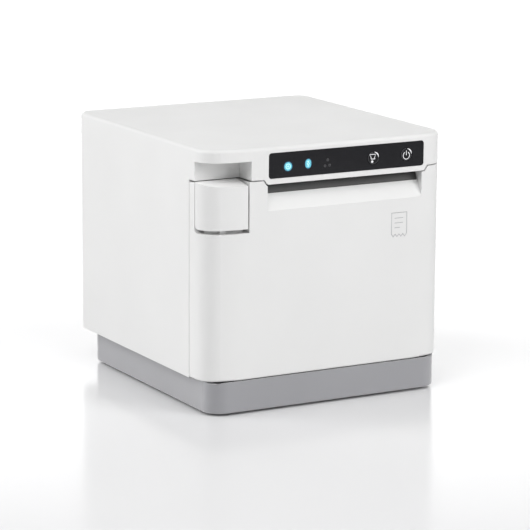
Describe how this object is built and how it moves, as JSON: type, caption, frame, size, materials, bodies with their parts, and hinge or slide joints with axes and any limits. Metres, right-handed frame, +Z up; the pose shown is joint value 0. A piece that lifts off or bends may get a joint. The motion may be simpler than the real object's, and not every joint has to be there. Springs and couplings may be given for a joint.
{
  "type": "receipt printer",
  "caption": "Compact cube receipt printer for 80 mm rolls: front door with paper slope, corner release lever, gloss key panel and grey base.",
  "frame": {"origin": "on the table under the middle of the casing's plan outline", "axes": "+X to the printer's right seen from the front, +Y to the rear, +Z up"},
  "size_m": [0.13, 0.139, 0.1255],
  "materials": {
    "white_shell": "fine satin moulded ABS",
    "grey_base": "satin moulded ABS",
    "foot_rubber": "matte",
    "roller_rubber": "ground matte",
    "dark_plastic": "fine matte moulded",
    "sheet_steel": "zinc plated",
    "turned_steel": "turned, bright",
    "spring_steel": "drawn wire",
    "blade_steel": "ground",
    "motor_can": "zinc plated",
    "gear_plastic": "natural acetal",
    "brass_pinion": "machined",
    "head_ceramic": "glazed ceramic",
    "heat_sink": "extruded",
    "flat_cable": "satin",
    "panel_gloss": "high gloss",
    "lamp_lens": "clear",
    "board_green": "solder mask",
    "socket_metal": "tinned",
    "socket_black": "moulded"
  },
  "bodies": {
    "chassis": {"base": "grey_base", "base_screws": "turned_steel", "button_switches": "dark_plastic", "casing": "white_shell", "control_panel": "panel_gloss", "cover_screws": "turned_steel", "cutter_guides": "dark_plastic", "cutter_motor": "motor_can", "door_switch": "dark_plastic", "drawer_socket": "socket_black", "drive_bracket": "sheet_steel", "feed_motor": "motor_can", "head_cable": "flat_cable", "head_heat_sink": "heat_sink", "head_pivot_pin": "turned_steel", "head_springs": "spring_steel", "hinge_brackets": "sheet_steel", "hinge_pins": "turned_steel", "idler_axle": "turned_steel", "inner_tray": "dark_plastic", "latch_posts": "turned_steel", "light_pipes": "lamp_lens", "main_board": "board_green", "mech_frame": "sheet_steel", "network_socket": "socket_metal", "panel_board": "board_green", "paper_sensor": "dark_plastic", "paper_well": "dark_plastic", "power_socket": "socket_black", "print_head": "head_ceramic", "rear_plate": "sheet_steel", "rubber_feet": "foot_rubber", "side_plate_left": "sheet_steel", "side_plate_right": "sheet_steel", "usb_a_socket": "socket_metal", "usb_b_socket": "socket_metal"},
    "door": {"front_door": "white_shell", "door_frame": "dark_plastic", "door_screws": "turned_steel", "fixed_blade": "blade_steel", "exit_guide": "dark_plastic", "platen_bearings": "dark_plastic", "lever_spring": "spring_steel"},
    "lever": {"release_lever": "white_shell"},
    "latch": {"latch_shaft": "turned_steel", "latch_hooks": "sheet_steel", "latch_crank": "sheet_steel"},
    "platen": {"platen_roller": "roller_rubber", "platen_shaft": "turned_steel", "platen_gear": "gear_plastic"},
    "idler": {"idler_gear": "gear_plastic"},
    "feed_rotor": {"feed_motor_shaft": "turned_steel", "motor_pinion": "brass_pinion"},
    "cutter_blade": {"moving_blade": "blade_steel"},
    "cutter_rotor": {"cutter_shaft": "turned_steel", "cutter_pinion": "brass_pinion"},
    "feed_key": {"feed_button": "panel_gloss"},
    "power_key": {"power_button": "panel_gloss"}
  },
  "joints": [
    {"name": "door_hinge", "type": "hinge", "parent": "chassis", "child": "door", "pos_m": [0, -0.0663, 0.0198], "axis": [1, 0, 0], "range_deg": [0, 75]},
    {"name": "lever_slide", "type": "slide", "parent": "door", "child": "lever", "axis": [0, 0, -1], "range_m": [0, 0.0018], "stiffness_N_per_m": 300, "springref_m": -0.003, "deforming": ["lever_spring"]},
    {"name": "latch_turn", "type": "hinge", "parent": "door", "child": "latch", "pos_m": [0, -0.0585, 0.08], "axis": [1, 0, 0], "range_deg": [0, 17]},
    {"name": "platen_spin", "type": "hinge", "parent": "door", "child": "platen", "pos_m": [0, -0.0558, 0.099], "axis": [1, 0, 0], "continuous": true},
    {"name": "idler_spin", "type": "hinge", "parent": "chassis", "child": "idler", "pos_m": [0, -0.04325, 0.09734], "axis": [1, 0, 0], "continuous": true},
    {"name": "feed_motor_spin", "type": "hinge", "parent": "chassis", "child": "feed_rotor", "pos_m": [0, -0.03557, 0.08966], "axis": [1, 0, 0], "continuous": true},
    {"name": "cutter_slide", "type": "slide", "parent": "chassis", "child": "cutter_blade", "axis": [0, 0, -1], "range_m": [0, 0.0017]},
    {"name": "cutter_motor_spin", "type": "hinge", "parent": "chassis", "child": "cutter_rotor", "pos_m": [0.03981, -0.055, 0.116], "axis": [0, 1, 0], "range_deg": [-33, 0]},
    {"name": "feed_button_press", "type": "slide", "parent": "chassis", "child": "feed_key", "axis": [0, 1, 0], "range_m": [0, 0.0005], "stiffness_N_per_m": 800, "springref_m": -0.0005},
    {"name": "power_button_press", "type": "slide", "parent": "chassis", "child": "power_key", "axis": [0, 1, 0], "range_m": [0, 0.0005], "stiffness_N_per_m": 800, "springref_m": -0.0005}
  ],
  "couplings": [
    {"joint": "latch_turn", "follows": "lever_slide", "rad_per_m": 161.29},
    {"joint": "idler_spin", "follows": "platen_spin", "ratio": -0.75},
    {"joint": "feed_motor_spin", "follows": "platen_spin", "ratio": 1.5},
    {"joint": "cutter_motor_spin", "follows": "cutter_slide", "rad_per_m": -333.33}
  ]
}
